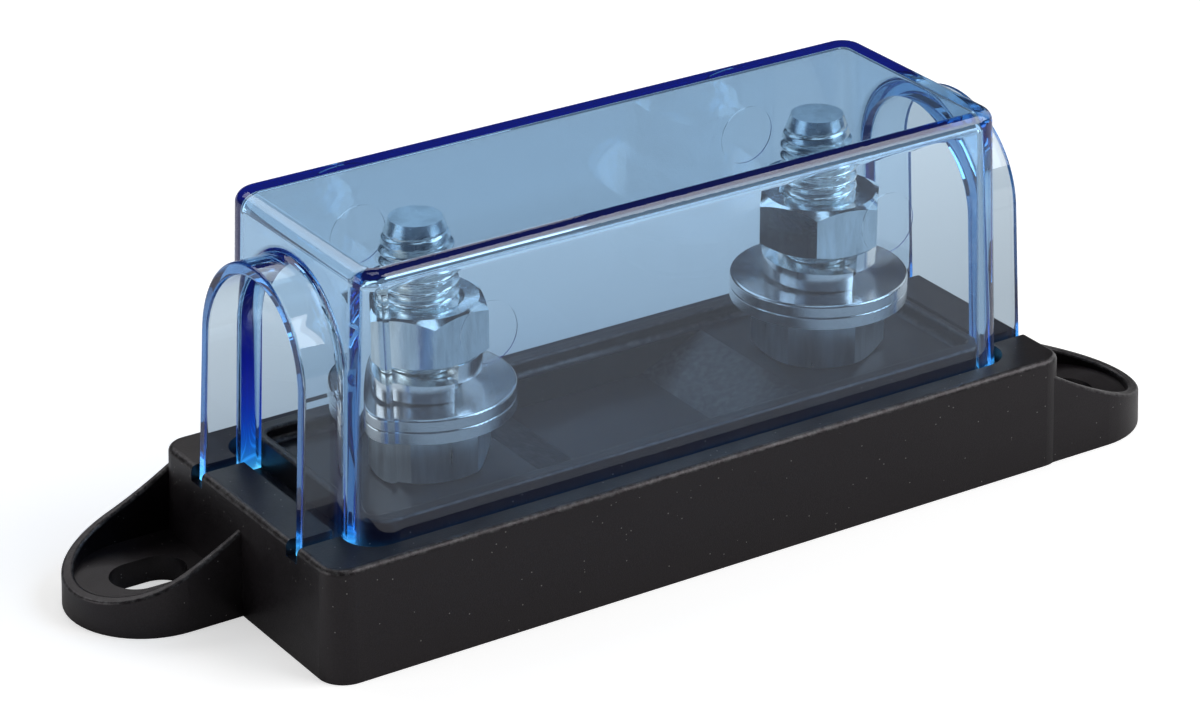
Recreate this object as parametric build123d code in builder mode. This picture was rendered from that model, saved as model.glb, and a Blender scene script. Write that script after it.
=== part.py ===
from build123d import *
from math import cos, radians, sin, tan
import os

# Fuse holder: moulded base with two fixing ears, two bolt stacks and a clear lift-off cover.
# Millimetres. +X runs along the holder, +Z is up, and the origin is the middle of the underside.
# The model repeats itself when it is turned half a turn about Z.

# Stud and hardware sizes
stud_spacing = 51.0
thread_diameter = 8.0
thread_fit = 0.05
stud_tip_narrowing = 1.1
stud_tip_length = 1.9
stud_end_length = 7.5
head_flats = 13.0
head_height = 5.3
nut_flats = 12.8
nut_height = 5.7
lock_nut_height = 6.4
nut_bore_chamfer = 0.45
hexagon_chamfer_angle = 28.0
hexagon_face_share = 0.95
hexagon_corner_gap = 0.1
washer_diameter = 19.7
washer_fit = 0.2
lower_washer_thickness = 1.45
upper_washer_thickness = 1.3
washer_edge = 0.3
spring_section_width = 2.1
spring_section_height = 2.0
spring_free_height = 3.95
spring_fit = 0.25
spring_start_angle = -90.0
spring_sweep_angle = 355.5
spring_seat_gap = 0.02

# How each hexagon happened to stop when it was tightened, degrees about Z
nut_turn = {"left": 10.0, "right": -8.0}
lock_nut_turn = {"left": -12.0, "right": -32.0}

# Cover sizes, at its flat top unless named otherwise
washer_end_room = 4.65
washer_side_room = 4.25
cover_wall = 1.8
cover_draft = 2.5
cover_corner = 2.8
cover_top_edge = 1.45
cover_ceiling_edge = 0.7
cover_ceiling_gap = 1.3
cover_foot_gap = 0.2

# Hoods that the cables leave through
hood_radius = 10.8
hood_wall = 1.4
hood_crown_drop = 3.0
hood_leg_draft = 0.67
hood_reach = 4.95
hood_rim_lean = 3.4
hood_root_fillet = 0.8
hood_rim_edge = 0.3

# Round marks that the ejector pins leave inside the cover's long walls
ejector_mark_spacing = 50.3
ejector_mark_z = 32.3
ejector_mark_diameter = 6.8
ejector_mark_depth = 0.12

# Base sizes
base_height = 12.8
base_draft = 2.0
base_corner = 3.0
base_edge = 0.7
base_end_past_hood = 1.1
base_side_wall = 3.15
moat_depth = 1.75
moat_end_gap = 0.55
moat_side_gap = 0.2
moat_corner = 3.5
deck_rise = 1.7
deck_gap = 0.3
deck_draft = 1.0
deck_corner = 2.5
deck_edge = 0.35
deck_end_rim = 1.1
deck_side_rim = 1.9
recess_corner = 1.2
recess_cove = 0.7
pocket_depth = 3.45
pocket_from_stud = 8.5
pocket_ramp_length = 8.05
pocket_side_wall = 0.85
notch_gap = 0.3
notch_overrun = 1.0
sill_gap = 0.6
head_web = 6.6
head_fit = 0.1

# Hollows that the underside is cored out with, and the solid block left round each bolt head
core_depth = 6.8
core_draft = 1.0
core_wall = 2.5
core_rib = 2.2
core_side_cells = 8
core_middle_cells = 3
block_half_length = 12.0
block_half_width = 10.6

# Fixing ears
ear_half_width = 9.2
ear_wall = 1.45
ear_draft = 2.0
ear_floor = 2.9
ear_side_inset = 0.25
ear_arc_reach = 6.2
ear_root_height = 9.5
ear_waist_height = 6.2
ear_waist_share = 0.43
ear_tip_height = 3.4
ear_edge = 0.35
slot_width = 6.1
slot_length = 8.6

# How far a cutting shape runs past the face that it opens
cut_margin = 1.0

# For picking: how near counts as on a plane, and how much of a normal along an axis as facing it
pick_margin = 0.01
pick_facing = 0.7

# Heights that follow
recess_z = base_height
moat_z = base_height - moat_depth
deck_z = base_height + deck_rise
pocket_z = recess_z - pocket_depth
head_top_z = recess_z - head_web
lower_washer_z = recess_z + lock_nut_height
upper_washer_z = lower_washer_z + lower_washer_thickness
spring_z = upper_washer_z + upper_washer_thickness
nut_z = spring_z + spring_free_height
nut_top_z = nut_z + nut_height
stud_top_z = nut_top_z + stud_end_length
ceiling_z = stud_top_z + cover_ceiling_gap
cover_top_z = ceiling_z + cover_wall
cover_foot_z = moat_z + cover_foot_gap
hood_axis_z = cover_top_z - hood_crown_drop - hood_radius

# Plan sizes that follow
thread_radius = thread_diameter / 2
washer_radius = washer_diameter / 2
cover_length = stud_spacing + 2 * (washer_radius + washer_end_room)
cover_width = 2 * (washer_radius + washer_side_room)
cover_rise = cover_top_z - cover_foot_z
cover_spread = cover_rise * tan(radians(cover_draft))
foot_x = cover_length / 2 + cover_spread
foot_y = cover_width / 2 + cover_spread
foot_corner = cover_corner + cover_spread
deck_x = foot_x - cover_wall - deck_gap
deck_y = foot_y - cover_wall - deck_gap
moat_x = foot_x + moat_end_gap
moat_y = foot_y + moat_side_gap
hood_foot_x = foot_x + hood_reach
base_x = hood_foot_x + base_end_past_hood
base_y = moat_y + base_side_wall
ear_y = base_y - ear_side_inset - ear_half_width
ear_x = base_x + ear_arc_reach
ear_inner_x = base_x - base_corner
core_x = base_x - core_wall
core_y = base_y - core_wall
block_x = stud_spacing / 2 - block_half_length
middle_cells_y = block_half_width - core_rib
nut_corner_radius = nut_flats / 2 / cos(radians(30)) + hexagon_corner_gap
nut_face_radius = hexagon_face_share * nut_flats / 2
nut_corner_drop = (nut_corner_radius - nut_face_radius) * tan(radians(hexagon_chamfer_angle))
stud_x = {"left": -stud_spacing / 2, "right": stud_spacing / 2}


def arch_points(radius):
    """Where the arch of a hood ends and where its drafted legs stand, for one radius."""
    lean = radians(hood_leg_draft)
    spring_y = radius * cos(lean)
    spring_height = hood_axis_z + radius * sin(lean)
    foot_half = spring_y + (spring_height - cover_foot_z) * tan(lean)
    return spring_y, spring_height, foot_half


hood_inner_radius = hood_radius - hood_wall
hood_outer_foot = arch_points(hood_radius)[2]
hood_inner_foot = arch_points(hood_inner_radius)[2]
notch_outer_y = hood_outer_foot + notch_gap
notch_inner_y = hood_inner_foot - sill_gap

# One fixing ear, on the right and towards the front
with BuildPart() as ear_form:
    ear_middle_x = (ear_inner_x + ear_x) / 2
    ear_run = ear_x - ear_inner_x
    with BuildSketch():
        with Locations((ear_x, -ear_y)):
            Circle(ear_half_width)
        with Locations((ear_middle_x, -ear_y)):
            Rectangle(ear_run, 2 * ear_half_width)
    extrude(amount=base_height, taper=ear_draft)
    with BuildSketch(Plane.XZ):
        with BuildLine():
            tip_x = ear_x + ear_half_width
            waist_x = base_x + ear_waist_share * (tip_x - base_x)
            crest = ThreePointArc(
                (base_x, ear_root_height),
                (waist_x, ear_waist_height),
                (tip_x, ear_tip_height),
            )
            Polyline(
                crest @ 1,
                (tip_x, base_height + cut_margin),
                (ear_inner_x - cut_margin, base_height + cut_margin),
                crest @ 0 - (base_corner + cut_margin) * (crest % 0),
                crest @ 0,
            )
        make_face()
    extrude(amount=2 * base_y, both=True, mode=Mode.SUBTRACT)
    with BuildSketch(Plane.XY.offset(ear_floor)):
        with Locations((ear_x, -ear_y)):
            Circle(ear_half_width - ear_wall)
        with Locations((ear_middle_x, -ear_y)):
            Rectangle(ear_run, 2 * (ear_half_width - ear_wall))
    extrude(amount=base_height, taper=-ear_draft, mode=Mode.SUBTRACT)
    crests = ear_form.faces().filter_by(
        lambda face: face.normal_at().Z > pick_facing and face.center().Z > ear_floor + ear_edge
    )
    fillet(crests.edges().filter_by(lambda edge: edge.center().X > base_x), ear_edge)

# Base moulding
with BuildPart() as base:
    with BuildSketch():
        RectangleRounded(2 * base_x, 2 * base_y, base_corner)
    extrude(amount=base_height, taper=base_draft)
    fillet(base.faces().sort_by(Axis.Z)[-1].edges(), base_edge)
    for half_turn in (0, 180):
        add(ear_form.part, rotation=(0, 0, half_turn))
    with BuildSketch(Plane.XY.offset(moat_z)):
        RectangleRounded(2 * moat_x, 2 * moat_y, moat_corner)
    extrude(amount=moat_depth, mode=Mode.SUBTRACT)
    with BuildSketch(Plane.XY.offset(moat_z)):
        RectangleRounded(2 * deck_x, 2 * deck_y, deck_corner)
    extrude(amount=deck_z - moat_z, taper=deck_draft)
    with BuildSketch(Plane.XY.offset(recess_z)):
        RectangleRounded(2 * (deck_x - deck_end_rim), 2 * (deck_y - deck_side_rim), recess_corner)
    extrude(amount=deck_rise, taper=-deck_draft, mode=Mode.SUBTRACT)
    fillet(base.faces().sort_by(Axis.Z)[-1].edges(), deck_edge)
    recess_floor = base.faces().filter_by(Axis.Z).sort_by_distance((0, 0, recess_z))[0]
    fillet(recess_floor.edges(), recess_cove)
    pocket_x = stud_spacing / 2 - pocket_from_stud
    with BuildSketch(Plane.XZ):
        with BuildLine():
            Polyline(
                (-pocket_x, recess_z),
                (pocket_x, recess_z),
                (pocket_x - pocket_ramp_length, pocket_z),
                (pocket_ramp_length - pocket_x, pocket_z),
                close=True,
            )
        make_face()
    extrude(amount=deck_y - deck_side_rim - pocket_side_wall, both=True, mode=Mode.SUBTRACT)
    with BuildSketch(Plane.XY.offset(moat_z)):
        with GridLocations(moat_x + base_x, notch_outer_y + notch_inner_y, 2, 2):
            Rectangle(base_x - moat_x + notch_overrun, notch_outer_y - notch_inner_y)
    extrude(amount=moat_depth, mode=Mode.SUBTRACT)
    with BuildSketch():
        with Locations((ear_x, -ear_y), (-ear_x, ear_y)):
            SlotOverall(slot_length, slot_width)
    extrude(amount=ear_floor, mode=Mode.SUBTRACT)
    for side in stud_x:
        with BuildSketch():
            with Locations((stud_x[side], 0)):
                RegularPolygon(head_flats / 2 + head_fit, 6, major_radius=False)
        extrude(amount=head_top_z, mode=Mode.SUBTRACT)
        with BuildSketch():
            with Locations((stud_x[side], 0)):
                Circle(thread_radius + thread_fit)
        extrude(amount=recess_z, mode=Mode.SUBTRACT)
    side_cell_length = (2 * core_x - (core_side_cells - 1) * core_rib) / core_side_cells
    side_cell_width = core_y - block_half_width
    middle_cell_length = (2 * block_x - (core_middle_cells - 1) * core_rib) / core_middle_cells
    middle_cell_width = middle_cells_y - core_rib / 2
    end_cell_length = core_x - block_x - 2 * block_half_length
    with BuildSketch():
        with GridLocations(side_cell_length + core_rib, block_half_width + core_y, core_side_cells, 2):
            Rectangle(side_cell_length, side_cell_width)
        with GridLocations(
            middle_cell_length + core_rib,
            middle_cell_width + core_rib,
            core_middle_cells,
            2,
        ):
            Rectangle(middle_cell_length, middle_cell_width)
        with GridLocations(2 * core_x - end_cell_length, middle_cell_width + core_rib, 2, 2):
            Rectangle(end_cell_length, middle_cell_width)
    extrude(amount=core_depth, taper=core_draft, mode=Mode.SUBTRACT)
base.part.label = "base"
export_step(base.part, "parts/base.step")

# One hood from outside, on the right
with BuildPart() as hood_form:
    with BuildSketch(Plane.YZ.offset(cover_length / 2 - cover_wall)):
        with BuildLine():
            side_y, side_z, foot_half = arch_points(hood_radius)
            crown = ThreePointArc(
                (side_y, side_z),
                (0, hood_axis_z + hood_radius),
                (-side_y, side_z),
            )
            Polyline(
                crown @ 1,
                (-foot_half, cover_foot_z),
                (foot_half, cover_foot_z),
                crown @ 0,
            )
        make_face()
    extrude(amount=cover_wall + cover_spread + hood_reach + cut_margin)
    lean = radians(hood_rim_lean)
    rim_plane = Plane(
        origin=(hood_foot_x, 0, cover_foot_z),
        x_dir=(0, 1, 0),
        z_dir=(cos(lean), 0, sin(lean)),
    )
    split(bisect_by=rim_plane, keep=Keep.BOTTOM)

# Cover moulding
with BuildPart() as cover:
    with BuildSketch(Plane.XY.offset(cover_foot_z)):
        RectangleRounded(2 * foot_x, 2 * foot_y, foot_corner)
    extrude(amount=cover_rise, taper=cover_draft)
    fillet(cover.faces().sort_by(Axis.Z)[-1].edges(), cover_top_edge)
    for half_turn in (0, 180):
        add(hood_form.part, rotation=(0, 0, half_turn))
    roots = cover.edges().filter_by(
        lambda edge: cover_length / 2 < abs(edge.center().X) < foot_x + pick_margin
        and abs((edge @ 0).Y) < hood_outer_foot + pick_margin
        and abs((edge @ 1).Y) < hood_outer_foot + pick_margin
        and edge.center().Z > cover_foot_z + pick_margin
    )
    fillet(roots, hood_root_fillet)
    with BuildSketch(Plane.XY.offset(cover_foot_z)):
        RectangleRounded(
            2 * (foot_x - cover_wall),
            2 * (foot_y - cover_wall),
            foot_corner - cover_wall,
        )
    extrude(amount=ceiling_z - cover_foot_z, taper=cover_draft, mode=Mode.SUBTRACT)
    ceiling = cover.faces().filter_by(Axis.Z).sort_by_distance((0, 0, ceiling_z))[0]
    fillet(ceiling.edges(), cover_ceiling_edge)
    wall_lean = radians(cover_draft)
    inner_y = cover_width / 2 - cover_wall + (cover_top_z - ejector_mark_z) * tan(wall_lean)
    for wall in (-1, 1):
        mark_plane = Plane(
            origin=(0, wall * inner_y, ejector_mark_z),
            x_dir=(1, 0, 0),
            z_dir=(0, wall * cos(wall_lean), sin(wall_lean)),
        )
        with BuildSketch(mark_plane):
            with GridLocations(ejector_mark_spacing, 0, 2, 1):
                Circle(ejector_mark_diameter / 2)
        extrude(amount=ejector_mark_depth, mode=Mode.SUBTRACT)
    with BuildSketch(Plane.YZ):
        with BuildLine():
            side_y, side_z, foot_half = arch_points(hood_inner_radius)
            crown = ThreePointArc(
                (side_y, side_z),
                (0, hood_axis_z + hood_inner_radius),
                (-side_y, side_z),
            )
            Polyline(
                crown @ 1,
                (-foot_half, cover_foot_z),
                (foot_half, cover_foot_z),
                crown @ 0,
            )
        make_face()
    extrude(amount=2 * foot_x, both=True, mode=Mode.SUBTRACT)
    rims = cover.faces().filter_by(
        lambda face: abs(face.normal_at().X) > pick_facing
        and abs(face.center().X) > foot_x + pick_margin
    )
    rim_edges = rims.edges().filter_by(lambda edge: edge.center().Z > cover_foot_z + pick_margin)
    fillet(rim_edges, hood_rim_edge)
cover.part.label = "cover"
export_step(cover.part, "parts/cover.step")

# Spring washer about Z, standing on the plane z = 0
with BuildPart() as coil_form:
    path_radius = thread_radius + spring_fit + spring_section_width / 2
    coil_rise = spring_free_height - spring_section_height - 2 * spring_seat_gap
    with BuildLine(Plane.XY.offset(spring_seat_gap + spring_section_height / 2)):
        coil = Helix(
            pitch=coil_rise * 360 / spring_sweep_angle,
            height=coil_rise,
            radius=path_radius,
            lefthand=True,
        )
    with BuildSketch(Plane(coil @ 0, x_dir=(1, 0, 0), z_dir=coil % 0)):
        Rectangle(spring_section_width, spring_section_height)
    sweep(path=coil, is_frenet=True)

# Stud, washers and nuts, once for each end
for side, x in stud_x.items():
    stud_axis = Axis((x, 0, 0), (0, 0, 1))
    section = Plane((x, 0, 0), x_dir=(1, 0, 0), z_dir=(0, -1, 0))

    with BuildPart() as bolt:
        with BuildSketch(Plane.XY.offset(head_top_z - head_height)):
            with Locations((x, 0)):
                RegularPolygon(head_flats / 2, 6, major_radius=False)
        extrude(amount=head_height)
        with BuildSketch(section):
            with BuildLine():
                Polyline(
                    (0, head_top_z - cut_margin),
                    (thread_radius, head_top_z - cut_margin),
                    (thread_radius, stud_top_z - stud_tip_length),
                    (thread_radius - stud_tip_narrowing, stud_top_z),
                    (0, stud_top_z),
                    close=True,
                )
            make_face()
        revolve(axis=stud_axis)
    bolt.part.label = f"{side}_bolt"
    export_step(bolt.part, f"parts/{side}_bolt.step")

    nuts = {
        f"{side}_lock_nut": (recess_z, lock_nut_height, lock_nut_turn[side]),
        f"{side}_nut": (nut_z, nut_height, nut_turn[side]),
    }
    for name, (bottom_z, height, turn) in nuts.items():
        with BuildPart() as nut:
            with BuildSketch(Plane.XY.offset(bottom_z)):
                with Locations((x, 0)):
                    RegularPolygon(nut_flats / 2, 6, major_radius=False, rotation=turn)
            extrude(amount=height)
            with BuildSketch(section):
                with BuildLine():
                    Polyline(
                        (0, bottom_z),
                        (nut_face_radius, bottom_z),
                        (nut_corner_radius, bottom_z + nut_corner_drop),
                        (nut_corner_radius, bottom_z + height - nut_corner_drop),
                        (nut_face_radius, bottom_z + height),
                        (0, bottom_z + height),
                        close=True,
                    )
                make_face()
            revolve(axis=stud_axis, mode=Mode.INTERSECT)
            with Locations((x, 0, bottom_z + height)):
                Hole(thread_radius + thread_fit)
            mouths = nut.edges().filter_by(GeomType.CIRCLE).sort_by(SortBy.RADIUS)[:2]
            chamfer(mouths, nut_bore_chamfer)
        nut.part.label = name
        export_step(nut.part, f"parts/{name}.step")

    washers = {
        f"{side}_lower_washer": (lower_washer_z, lower_washer_thickness),
        f"{side}_upper_washer": (upper_washer_z, upper_washer_thickness),
    }
    for name, (bottom_z, thickness) in washers.items():
        with BuildPart() as washer:
            with BuildSketch(Plane.XY.offset(bottom_z)):
                with Locations((x, 0)):
                    Circle(washer_radius)
                    Circle(thread_radius + washer_fit, mode=Mode.SUBTRACT)
            extrude(amount=thickness)
            rim = washer.faces().sort_by(Axis.Z)[-1].edges().sort_by(SortBy.RADIUS)[-1]
            fillet(rim, washer_edge)
        washer.part.label = name
        export_step(washer.part, f"parts/{name}.step")

    with BuildPart() as spring_washer:
        with Locations((x, 0, spring_z)):
            add(coil_form.part, rotation=(0, 0, spring_start_angle))
    spring_washer.part.label = f"{side}_spring_washer"
    export_step(spring_washer.part, f"parts/{side}_spring_washer.step")
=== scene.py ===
from math import cos, pi, radians, sin

import bpy
from mathutils import Matrix, Vector


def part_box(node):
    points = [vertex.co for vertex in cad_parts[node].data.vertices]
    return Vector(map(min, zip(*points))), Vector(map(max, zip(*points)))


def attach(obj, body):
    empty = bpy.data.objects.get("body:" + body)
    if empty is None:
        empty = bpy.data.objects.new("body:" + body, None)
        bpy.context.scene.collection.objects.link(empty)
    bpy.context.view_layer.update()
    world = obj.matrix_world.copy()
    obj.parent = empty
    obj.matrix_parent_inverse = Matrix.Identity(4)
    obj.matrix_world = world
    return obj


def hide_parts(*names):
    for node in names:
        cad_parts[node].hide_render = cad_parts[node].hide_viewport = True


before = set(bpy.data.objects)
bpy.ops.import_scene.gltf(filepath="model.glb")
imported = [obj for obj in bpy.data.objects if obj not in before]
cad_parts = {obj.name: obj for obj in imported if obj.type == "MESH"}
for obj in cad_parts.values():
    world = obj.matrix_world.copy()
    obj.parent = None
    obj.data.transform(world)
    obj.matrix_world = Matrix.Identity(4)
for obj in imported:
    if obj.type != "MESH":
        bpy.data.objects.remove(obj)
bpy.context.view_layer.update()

MM = 0.001
SIDES = ("left", "right")

# The photograph's view: the camera stands to the left, in front and above
VIEW_AZIMUTH_DEG = -33.097
VIEW_ELEVATION_DEG = 25.296
VIEW_ROLL_DEG = -0.2185
CAMERA_PLACE = (-0.22810, -0.34556, 0.21257)
LENS_MM = 126.76
SENSOR_MM = 36.0
CLIP_NEAR = 0.01
CLIP_FAR = 20

# The sheet of white paper that the part stands on
FLOOR_HALF = 3.0
FLOOR_DROP = 0.02 * MM
PAPER = 0.85

# What is added to the paper where it is seen straight or through the cover
GLOW_STRAIGHT = 0.52
GLOW_THROUGH = 0.21

# Painted shade on the paper seen through the cover: how much darker it is, from nothing far behind the
# part to the whole near it
SHADE_BEHIND = 0.45
SHADE_FROM = 75 * MM
SHADE_TO = 22 * MM

# The dark room, as the cover shows it and as the metal mirrors it
ROOM_THROUGH = 0.36
ROOM_REFLECTED = 0.03

# A wall has two faces, so light that has passed more faces than this came through more than one wall
FACES_OF_ONE_WALL = 2.5

# Black plastic of the base: its shine, its fine grain and its patches of more and less gloss
BASE_IOR = 1.5
BASE_SPECULAR = 0.41
BASE_SPECULAR_TINT = (1.0, 0.93, 0.98)
BASE_DARK = (0.0034, 0.0026, 0.0034)
BASE_LIGHT = (0.0110, 0.0088, 0.0104)
BASE_GRAIN_SCALE = 7000.0
BASE_GRAIN_SPAN = (0.35, 0.75)
BASE_GRAIN_STRENGTH = 0.5
BASE_GRAIN_HEIGHT = 0.03 * MM
PATCH_SCALE = 110.0
PATCH_DETAIL = 4.0
PATCH_ROUGHNESS = 0.6
PATCH_SPAN = (0.35, 0.68)
PATCH_GLOSSY = 0.29
PATCH_DULL = 0.45

# Light specks in the base: cells to a metre, a speck's radius in cells and the share of cells with one
SPECK_SCALE = 1700.0
SPECK_RADIUS = 0.13
SPECK_SHARE = 0.10
SPECK_COLOUR = (0.16, 0.155, 0.15)

# Lighter edges of the base, partly wear and partly painted sheen: how far up a face looks where they come
# in and where they go out
WEAR_SHEEN_COMES_IN = (0.10, 0.45)
WEAR_SHEEN_GOES_OUT = (0.995, 0.90)
WEAR_SHEEN_SCALE = 1400.0
WEAR_SHEEN_DETAIL = 4.0
WEAR_SHEEN_ROUGHNESS = 0.7
WEAR_SHEEN_SPAN = (0.42, 0.66)
WEAR_SHEEN_SHARE = 0.8
WEAR_SHEEN_COLOUR = (0.085, 0.085, 0.088)

# Clear plastic of the cover: what it absorbs, and a painted blue glow inside it that stands in for the
# light gathering in it
COVER_IOR = 1.58
COVER_TINT = (0.0, 0.48, 0.82)
COVER_DENSITY = 243.0
PAINTED_GLOW_COLOUR = (0.28, 0.26, 1.0)
PAINTED_GLOW_STRENGTH = 3.8

# What one face of the cover lets through of the light that casts its shadow
SHADOW_PASSES = 0.92

# The cover's foot, where a painted glow stands in for the light that the walls lead down and let out
FOOT_HEIGHT = 0.35 * MM
PAINTED_FOOT_GLOW = 0.6
PAINTED_FOOT_COLOUR = (0.08, 0.55, 1.0)

# Clouds and grain that all the zinc plate shares
CLOUD_SCALE = 500.0
CLOUD_DETAIL = 5.0
CLOUD_ROUGHNESS = 0.62
CLOUD_TONE_SPAN = (0.32, 0.62)
CLOUD_GLOSS_SPAN = (0.3, 0.75)
ZINC_GRAIN_DETAIL = 3.0
ZINC_GRAIN_STRENGTH = 0.6

# How far up a face looks on the flat end of a stud
FLAT_END_SPAN = (0.97, 0.99)

# The turn that lays the brushing round the axis
QUARTER_TURN = 0.25

# Stud thread, metric coarse, on the head of a hexagon bolt
THREAD_PITCH = 1.25 * MM
THREAD_RADIUS = 3.99 * MM
THREAD_DEPTH = 0.74 * MM
ROOT_SHARE = 0.14
CREST_SHARE = 0.14
FLANK_ROUNDING = 0.5
TIP_NARROWING = 1.12 * MM
TIP_LENGTH = 3.0 * MM
HEAD_HEIGHT = 5.3 * MM
HEAD_SIDES = 6
THREAD_STEPS_ROUND = 80
THREAD_STEPS_PITCH = 16
SHARP_EDGE_DEG = 38


def direction(azimuth_deg, elevation_deg):
    """A step of length 1 away from the part: azimuth 0 is to the front, 90 to the right."""
    azimuth, elevation = radians(azimuth_deg), radians(elevation_deg)
    return Vector((cos(elevation) * sin(azimuth), -cos(elevation) * cos(azimuth), sin(elevation)))


def add_object(name, data):
    added = bpy.data.objects.new(name, data)
    bpy.context.scene.collection.objects.link(added)
    return added


def place_camera():
    roll = radians(VIEW_ROLL_DEG)
    back = direction(VIEW_AZIMUTH_DEG, VIEW_ELEVATION_DEG)
    right = (-back).cross(Vector((0, 0, 1))).normalized()
    up = right.cross(-back)
    across = right * cos(roll) + up * sin(roll)
    upward = up * cos(roll) - right * sin(roll)
    data = bpy.data.cameras.new("view_camera")
    data.lens = LENS_MM
    data.sensor_width = SENSOR_MM
    data.sensor_fit = "HORIZONTAL"
    data.clip_start = CLIP_NEAR
    data.clip_end = CLIP_FAR
    camera = add_object("view_camera", data)
    turn = Matrix((across, upward, back)).transposed().to_4x4()
    camera.matrix_world = Matrix.Translation(CAMERA_PLACE) @ turn
    bpy.context.scene.camera = camera


def add_node(tree, kind, values=None, **settings):
    """A new node whose sockets take numbers, colours or what other nodes give."""
    node = tree.nodes.new(f"ShaderNode{kind}")
    for name, setting in settings.items():
        setattr(node, name, setting)
    for place, value in (values or {}).items():
        socket = node.inputs[place]
        if isinstance(value, bpy.types.NodeSocket):
            tree.links.new(value, socket)
        elif socket.type == "RGBA":
            socket.default_value = (*value, 1)
        else:
            socket.default_value = value
    return node


def combine(tree, operation, first, second):
    return add_node(tree, "Math", {0: first, 1: second}, operation=operation).outputs[0]


def times(tree, first, second):
    return combine(tree, "MULTIPLY", first, second)


def map_range(tree, source, start, end, start_value=0.0, end_value=1.0, kind="LINEAR"):
    """Goes from one value to the other while the source goes from start to end, and no further."""
    values = {
        "Value": source,
        "From Min": start,
        "From Max": end,
        "To Min": start_value,
        "To Max": end_value,
    }
    return add_node(tree, "MapRange", values, interpolation_type=kind).outputs[0]


def ramp(tree, source, low, high, low_colour, high_colour):
    """Goes from one colour to the other while the source goes from low to high."""
    node = add_node(tree, "ValToRGB", {0: source})
    ends = ((low, low_colour), (high, high_colour))
    for element, (position, colour) in zip(node.color_ramp.elements, ends):
        element.position = position
        element.color = (*colour, 1)
    return node.outputs[0]


def mix_colours(tree, factor, under, over):
    values = {"Factor": factor, "A": under, "B": over}
    return add_node(tree, "Mix", values, data_type="RGBA").outputs["Result"]


def grey(level):
    return (level, level, level)


def light_path(tree):
    return add_node(tree, "LightPath").outputs


def own_place(tree):
    """Where a point lies in the frame of its own piece."""
    return add_node(tree, "TexCoord").outputs["Object"]


def one_axis(tree, vector, axis):
    return add_node(tree, "SeparateXYZ", {0: vector}).outputs[axis]


def facing_up(tree):
    """How far up a face looks: 0 on a side and 1 on a top."""
    return one_axis(tree, add_node(tree, "NewGeometry").outputs["Normal"], "Z")


def noise_at(tree, place, scale, detail=2.0, roughness=0.5):
    values = {"Vector": place, "Scale": scale, "Detail": detail, "Roughness": roughness}
    return add_node(tree, "TexNoise", values).outputs["Fac"]


def bump(tree, height, strength, distance):
    values = {"Height": height, "Strength": strength, "Distance": distance}
    return add_node(tree, "Bump", values).outputs[0]


def new_material(name):
    material = bpy.data.materials.new(name)
    material.use_nodes = True
    material.node_tree.nodes.clear()
    return material, material.node_tree


def paint(names, material):
    for name in names:
        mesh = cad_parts[name].data
        for index in range(len(mesh.materials)):
            mesh.materials[index] = material


def floor_paper():
    """White paper that glows where it is looked at and, seen through the cover, has painted shade that
    darkens it near the part.
    """
    material, tree = new_material("floor_paper")
    ray = light_path(tree)
    behind = one_axis(tree, add_node(tree, "NewGeometry").outputs["Position"], "Y")
    # Painted shade: seen through the cover, the paper's colour darkens towards the part
    shade = map_range(tree, behind, SHADE_FROM, SHADE_TO, end_value=SHADE_BEHIND)
    seen = times(tree, shade, ray["Is Transmission Ray"])
    tone = map_range(tree, seen, 0.0, 1.0, PAPER, 0.0)
    paper = add_node(tree, "BsdfDiffuse", {"Color": tone})
    straight = times(tree, ray["Is Camera Ray"], GLOW_STRAIGHT)
    through = times(tree, ray["Is Transmission Ray"], GLOW_THROUGH)
    level = combine(tree, "ADD", straight, through)
    glow = add_node(tree, "Emission", {"Strength": level})
    total = add_node(tree, "AddShader", {0: paper.outputs[0], 1: glow.outputs[0]})
    add_node(tree, "OutputMaterial", {"Surface": total.outputs[0]})
    return material


def make_floor():
    signs = ((-1, -1), (1, -1), (1, 1), (-1, 1))
    corners = [(across * FLOOR_HALF, back * FLOOR_HALF, -FLOOR_DROP) for across, back in signs]
    mesh = bpy.data.meshes.new("floor")
    mesh.from_pydata(corners, [], [(0, 1, 2, 3)])
    floor = add_object("floor", mesh)
    mesh.materials.append(floor_paper())


def seen_in_metal(tree, ray):
    """More than 0 for what the metal inside the cover mirrors, past more than one wall."""
    deep = combine(tree, "GREATER_THAN", ray["Transmission Depth"], FACES_OF_ONE_WALL)
    return times(tree, ray["Glossy Depth"], deep)


def make_world():
    """A dark studio, which looks lighter through the cover, where light gathers in the plastic."""
    world = bpy.data.worlds.new("studio")
    bpy.context.scene.world = world
    world.use_nodes = True
    tree = world.node_tree
    tree.nodes.clear()
    ray = light_path(tree)
    beyond = map_range(tree, seen_in_metal(tree, ray), 0.0, 1.0, ROOM_THROUGH, ROOM_REFLECTED)
    through = times(tree, ray["Is Transmission Ray"], beyond)
    level = combine(tree, "MAXIMUM", through, ROOM_REFLECTED)
    room = add_node(tree, "Background", {"Strength": level})
    add_node(tree, "OutputWorld", {"Surface": room.outputs[0]})


def softbox(name, azimuth_deg, elevation_deg, size, radiance):
    """A rectangular light one metre away that faces the part; a radiance of 1 is white."""
    data = bpy.data.lights.new(name, "AREA")
    data.shape = "RECTANGLE"
    data.size, data.size_y = size
    data.energy = radiance * pi * size[0] * size[1]
    light = add_object(name, data)
    light.location = direction(azimuth_deg, elevation_deg)
    light.rotation_euler = (-light.location).to_track_quat("-Z", "Y").to_euler()


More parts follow.
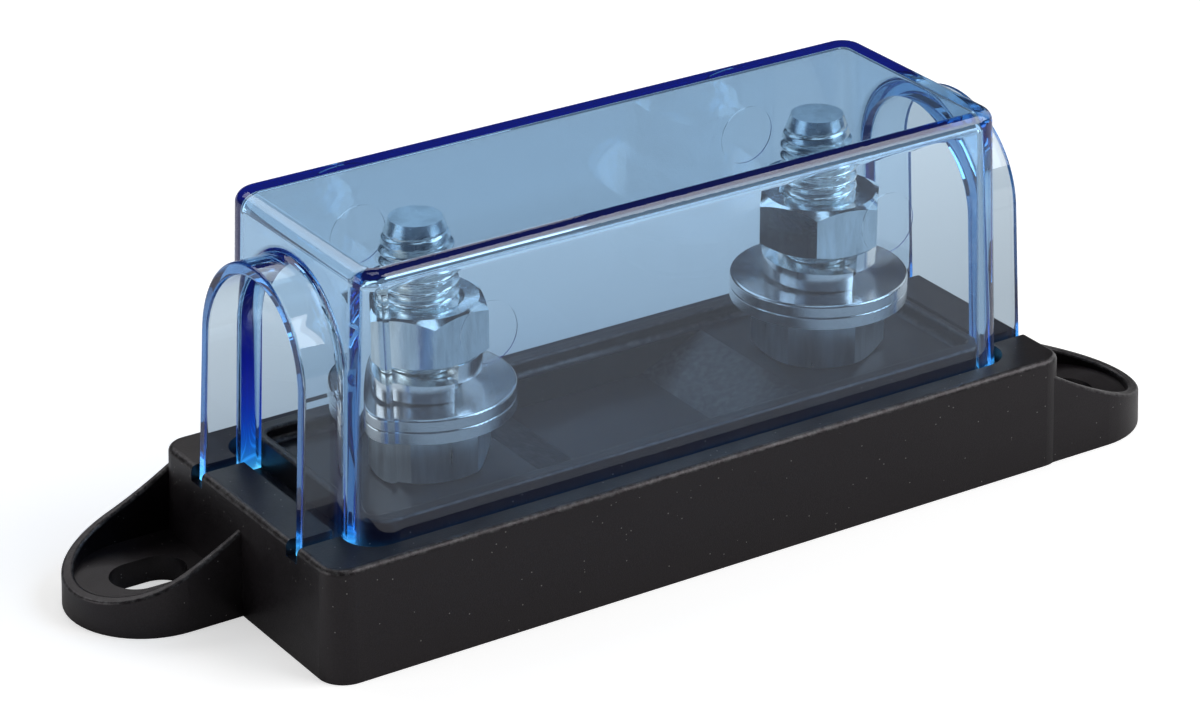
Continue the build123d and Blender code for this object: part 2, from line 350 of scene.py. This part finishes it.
def make_lights():
    softbox("key_softbox", azimuth_deg=51, elevation_deg=40, size=(0.75, 0.68), radiance=4.15)
    softbox("left_softbox", azimuth_deg=-100, elevation_deg=15, size=(0.60, 0.55), radiance=2.1)
    softbox("back_softbox", azimuth_deg=180, elevation_deg=47, size=(1.10, 0.50), radiance=1.7)
    softbox("right_softbox", azimuth_deg=105, elevation_deg=24, size=(0.50, 0.75), radiance=1.0)
    softbox("top_softbox", azimuth_deg=0, elevation_deg=86, size=(0.45, 0.45), radiance=1.7)


def light_specks(tree):
    """A mask of small round specks, which only a share of the cells hold."""
    cells = add_node(tree, "TexVoronoi", {"Vector": own_place(tree), "Scale": SPECK_SCALE})
    near = combine(tree, "LESS_THAN", cells.outputs["Distance"], SPECK_RADIUS)
    lot = add_node(tree, "SeparateColor", {0: cells.outputs["Color"]}).outputs[0]
    return times(tree, near, combine(tree, "LESS_THAN", lot, SPECK_SHARE))


def edge_wear_and_sheen(tree):
    """A mask of the faces that turn from a side to a top, where the plastic is lighter: partly wear from
    handling and partly painted sheen.
    """
    up = facing_up(tree)
    comes_in = map_range(tree, up, *WEAR_SHEEN_COMES_IN, kind="SMOOTHSTEP")
    goes_out = map_range(tree, up, *WEAR_SHEEN_GOES_OUT, kind="SMOOTHSTEP")
    wear_sheen_noise = noise_at(tree, own_place(tree), WEAR_SHEEN_SCALE, WEAR_SHEEN_DETAIL, WEAR_SHEEN_ROUGHNESS)
    return times(tree, times(tree, comes_in, goes_out), map_range(tree, wear_sheen_noise, *WEAR_SHEEN_SPAN))


def moulded_plastic():
    material, tree = new_material("moulded_base_plastic")
    grain = noise_at(tree, own_place(tree), BASE_GRAIN_SCALE)
    ground = ramp(tree, grain, *BASE_GRAIN_SPAN, BASE_DARK, BASE_LIGHT)
    spotted = mix_colours(tree, light_specks(tree), ground, SPECK_COLOUR)
    # Partly painted sheen: the rounded edges are made lighter, both as wear and as the shine they catch
    wear_and_sheen = times(tree, edge_wear_and_sheen(tree), WEAR_SHEEN_SHARE)
    patches = noise_at(tree, own_place(tree), PATCH_SCALE, PATCH_DETAIL, PATCH_ROUGHNESS)
    plastic = add_node(tree, "BsdfPrincipled", {
        "IOR": BASE_IOR,
        "Specular IOR Level": BASE_SPECULAR,
        "Specular Tint": BASE_SPECULAR_TINT,
        "Base Color": mix_colours(tree, wear_and_sheen, spotted, WEAR_SHEEN_COLOUR),
        "Roughness": ramp(tree, patches, *PATCH_SPAN, grey(PATCH_GLOSSY), grey(PATCH_DULL)),
        "Normal": bump(tree, grain, BASE_GRAIN_STRENGTH, BASE_GRAIN_HEIGHT),
    })
    add_node(tree, "OutputMaterial", {"Surface": plastic.outputs[0]})
    return material


def painted_foot_glow(tree):
    """The strength of the painted glow at the cover's foot, which fades over the lowest stretch."""
    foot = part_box("cover")[0].z
    height = one_axis(tree, own_place(tree), "Z")
    return map_range(tree, height, foot + FOOT_HEIGHT, foot, end_value=PAINTED_FOOT_GLOW)


def clear_blue():
    """Clear plastic that tints light by depth and glows with painted blue light inside and at its foot;
    shadow rays and diffuse rays pass straight through it.
    """
    material, tree = new_material("clear_blue_plastic")
    material.cycles.emission_sampling = "NONE"
    # Painted light: the cover's foot glows blue of itself, though it is no lamp
    plastic = add_node(tree, "BsdfPrincipled", {
        "Base Color": grey(1.0),
        "Transmission Weight": 1.0,
        "IOR": COVER_IOR,
        "Roughness": 0.0,
        "Emission Color": PAINTED_FOOT_COLOUR,
        "Emission Strength": painted_foot_glow(tree),
    })
    clear = add_node(tree, "BsdfTransparent", {"Color": grey(SHADOW_PASSES)})
    ray = light_path(tree)
    either = combine(tree, "MAXIMUM", ray["Is Shadow Ray"], ray["Is Diffuse Ray"])
    surface = add_node(tree, "MixShader", {0: either, 1: plastic.outputs[0], 2: clear.outputs[0]})
    tint = add_node(tree, "VolumeAbsorption", {"Color": COVER_TINT, "Density": COVER_DENSITY})
    # Painted light: the plastic's inside gives off blue light of its own, though it is no lamp
    painted_glow = add_node(tree, "Emission", {"Color": PAINTED_GLOW_COLOUR, "Strength": PAINTED_GLOW_STRENGTH})
    inside = add_node(tree, "AddShader", {0: tint.outputs[0], 1: painted_glow.outputs[0]})
    add_node(tree, "OutputMaterial", {"Surface": surface.outputs[0], "Volume": inside.outputs[0]})
    return material


def zinc(name, colour, rough, grain_scale, grain_height, mottle, stretch=1.0, brushed=0.0, end_rough=0.0):
    """Zinc plate: cloudy tone and gloss and fine grain, and for some brushing or a duller flat end."""
    material, tree = new_material(name)
    drawn = add_node(tree, "Mapping", {"Vector": own_place(tree), "Scale": (1.0, 1.0, 1.0 / stretch)})
    clouds = noise_at(tree, drawn.outputs["Vector"], CLOUD_SCALE, CLOUD_DETAIL, CLOUD_ROUGHNESS)
    darker = tuple(value * (1 - mottle) for value in colour)
    glossy, dull = grey(rough * (1 - mottle)), grey(rough * (1 + mottle))
    gloss = ramp(tree, clouds, *CLOUD_GLOSS_SPAN, glossy, dull)
    if end_rough:
        on_end = map_range(tree, facing_up(tree), *FLAT_END_SPAN)
        gloss = mix_colours(tree, on_end, gloss, grey(end_rough))
    grain = noise_at(tree, own_place(tree), grain_scale, ZINC_GRAIN_DETAIL)
    values = {
        "Metallic": 1.0,
        "Base Color": ramp(tree, clouds, *CLOUD_TONE_SPAN, darker, colour),
        "Roughness": gloss,
        "Normal": bump(tree, grain, ZINC_GRAIN_STRENGTH, grain_height),
    }
    if brushed:
        values["Anisotropic"] = brushed
        values["Anisotropic Rotation"] = QUARTER_TURN
        values["Tangent"] = add_node(tree, "Tangent", direction_type="RADIAL", axis="Z").outputs[0]
    metal = add_node(tree, "BsdfPrincipled", values)
    add_node(tree, "OutputMaterial", {"Surface": metal.outputs[0]})
    return material


def nut_zinc():
    """The glossiest plate, with its clouds drawn out along the nut."""
    grain = {"grain_scale": 1800.0, "grain_height": 0.010 * MM}
    return zinc("nut_zinc", colour=(0.86, 0.95, 1.0), rough=0.12, mottle=0.28, stretch=5.0, **grain)


def lock_nut_zinc():
    """Dull plate, with its clouds drawn out along the nut."""
    grain = {"grain_scale": 1800.0, "grain_height": 0.009 * MM}
    return zinc("lock_nut_zinc", colour=(0.80, 0.86, 0.90), rough=0.36, mottle=0.25, stretch=5.0, **grain)


def washer_zinc():
    """Smooth plate, brushed round the hole."""
    grain = {"grain_scale": 3500.0, "grain_height": 0.001 * MM}
    return zinc("washer_zinc", colour=(0.70, 0.69, 0.69), rough=0.19, mottle=0.06, brushed=0.9, **grain)


def spring_zinc():
    grain = {"grain_scale": 2500.0, "grain_height": 0.002 * MM}
    return zinc("spring_zinc", colour=(1.0, 1.0, 1.0), rough=0.18, mottle=0.08, **grain)


def stud_zinc():
    """Plate with a duller flat end at the top of the stud."""
    grain = {"grain_scale": 1500.0, "grain_height": 0.006 * MM}
    return zinc("stud_zinc", colour=(0.95, 1.0, 1.0), rough=0.24, mottle=0.25, end_rough=0.42, **grain)


def turns(count):
    """The angles of points that are spread evenly round a circle."""
    return [2 * pi * turn / count for turn in range(count)]


def place_round(centre_x, radius, angle, z):
    return (centre_x + radius * cos(angle), radius * sin(angle), z)


def thread_radius(z, angle, start, top):
    """Radius of a rolled right-hand thread, which runs out in the cone at the stud's tip."""
    phase = ((z - start) / THREAD_PITCH - angle / (2 * pi)) % 1.0
    height = (2 * abs(phase - 0.5) - ROOT_SHARE) / (1 - ROOT_SHARE - CREST_SHARE)
    height = min(max(height, 0.0), 1.0)
    rounded = height * height * (3 - 2 * height)
    height = (1 - FLANK_ROUNDING) * height + FLANK_ROUNDING * rounded
    radius = THREAD_RADIUS - THREAD_DEPTH * (1 - height)
    cone = THREAD_RADIUS - TIP_NARROWING * (1 - (top - z) / TIP_LENGTH)
    return min(radius, cone)


def thread_rings(centre_x, start, top):
    """Rings of points from the bolt's head up to its tip."""
    steps = int((top - start) / THREAD_PITCH * THREAD_STEPS_PITCH) + 1
    rings = []
    for level in range(steps + 1):
        z = start + (top - start) * level / steps
        rings.append([
            place_round(centre_x, thread_radius(z, angle, start, top), angle, z)
            for angle in turns(THREAD_STEPS_ROUND)
        ])
    return rings


def head_rings(centre_x, flats, start, top):
    """The corners of the bolt's head, below and above; flats is its width across two flat sides."""
    corner = flats / 2 / cos(pi / HEAD_SIDES)
    return [[place_round(centre_x, corner, angle, z) for angle in turns(HEAD_SIDES)] for z in (start, top)]


def add_body(points, faces, rings):
    """Joins rings of as many points each with walls, and closes both ends."""
    base = len(points)
    count = len(rings[0])
    last = base + (len(rings) - 1) * count
    for ring in rings:
        points.extend(ring)
    for below in range(base, last, count):
        for turn in range(count):
            first = below + turn
            second = below + (turn + 1) % count
            faces.append((first, second, second + count, first + count))
    faces.append(tuple(last + turn for turn in range(count)))
    faces.append(tuple(base + turn for turn in reversed(range(count))))


def threaded_stud(side, material):
    """The bolt with its rolled thread, on the same head and inside the outline of the solid one."""
    node = f"{side}_bolt"
    low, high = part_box(node)
    centre_x = (low.x + high.x) / 2
    shank_z = low.z + HEAD_HEIGHT
    points, faces = [], []
    add_body(points, faces, thread_rings(centre_x, shank_z, high.z))
    add_body(points, faces, head_rings(centre_x, high.y - low.y, low.z, shank_z))
    mesh = bpy.data.meshes.new(f"{side}_threaded_stud")
    mesh.from_pydata(points, [], faces)
    mesh.update()
    for polygon in mesh.polygons:
        polygon.use_smooth = True
    mesh.set_sharp_from_angle(angle=radians(SHARP_EDGE_DEG))
    mesh.materials.append(material)
    stud = add_object(f"{side}_threaded_stud", mesh)
    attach(stud, "root")
    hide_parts(node)


def set_light_paths():
    cycles = bpy.context.scene.cycles
    cycles.max_bounces = 32
    cycles.transmission_bounces = 24
    cycles.glossy_bounces = 12
    cycles.transparent_max_bounces = 24
    cycles.diffuse_bounces = 4
    cycles.sample_clamp_indirect = 8.0
    bpy.context.scene.view_settings.view_transform = "Standard"


def on_both_sides(name):
    return [f"{side}_{name}" for side in SIDES]


place_camera()
make_floor()
make_world()
make_lights()
set_light_paths()

paint(["base"], moulded_plastic())
paint(["cover"], clear_blue())
paint(on_both_sides("nut"), nut_zinc())
paint(on_both_sides("lock_nut"), lock_nut_zinc())
paint(on_both_sides("lower_washer") + on_both_sides("upper_washer"), washer_zinc())
paint(on_both_sides("spring_washer"), spring_zinc())
stud_finish = stud_zinc()
for side in SIDES:
    threaded_stud(side, stud_finish)
